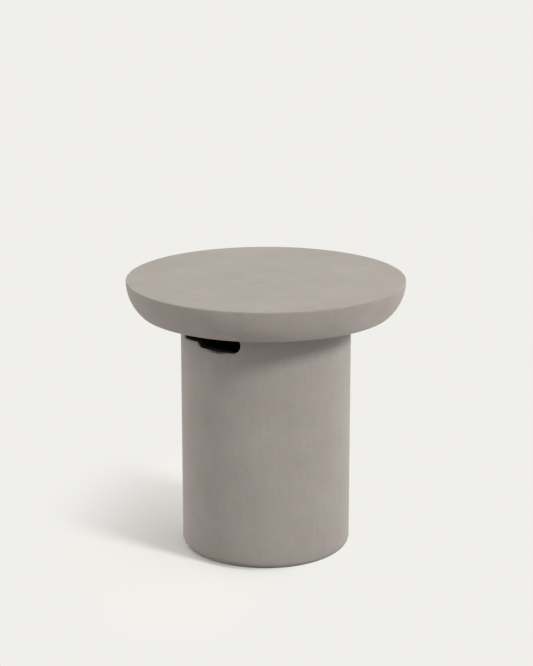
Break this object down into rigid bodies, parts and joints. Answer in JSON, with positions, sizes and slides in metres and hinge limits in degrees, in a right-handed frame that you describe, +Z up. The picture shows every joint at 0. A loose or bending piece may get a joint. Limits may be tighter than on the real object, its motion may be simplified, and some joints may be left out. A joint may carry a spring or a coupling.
{
  "type": "round side table",
  "caption": "Round side table: a concrete top with an inward-curved side on a plain hollow drum with hand holes, bolted together from below.",
  "frame": {"origin": "on the floor under the middle of the table, level with the undersides of the pads", "axes": "+Z up along the axis of the drum and the top, -Y towards the front from which the picture looks, +X to the right as seen from there"},
  "size_m": [0.5, 0.5, 0.5],
  "materials": {
    "concrete": "matt cast glass-fibre concrete, warm grey, sealed, with fine pores",
    "rubber": "matt black moulded rubber",
    "steel": "plain stainless steel",
    "zinc": "zinc-plated steel",
    "nylon": "moulded grey nylon"
  },
  "bodies": {
    "root": {"tabletop": "concrete", "base_drum": "concrete", "seat_gasket": "rubber", "top_sleeve_1": "zinc", "top_sleeve_2": "zinc", "top_sleeve_3": "zinc", "top_sleeve_4": "zinc", "top_washer_1": "steel", "top_washer_2": "steel", "top_washer_3": "steel", "top_washer_4": "steel", "top_bolt_1": "steel", "top_bolt_2": "steel", "top_bolt_3": "steel", "top_bolt_4": "steel", "foot_pad_1": "rubber", "foot_pad_2": "rubber", "foot_pad_3": "rubber", "foot_pad_4": "rubber", "foot_plug_1": "nylon", "foot_plug_2": "nylon", "foot_plug_3": "nylon", "foot_plug_4": "nylon", "foot_screw_1": "steel", "foot_screw_2": "steel", "foot_screw_3": "steel", "foot_screw_4": "steel"}
  },
  "joints": []
}
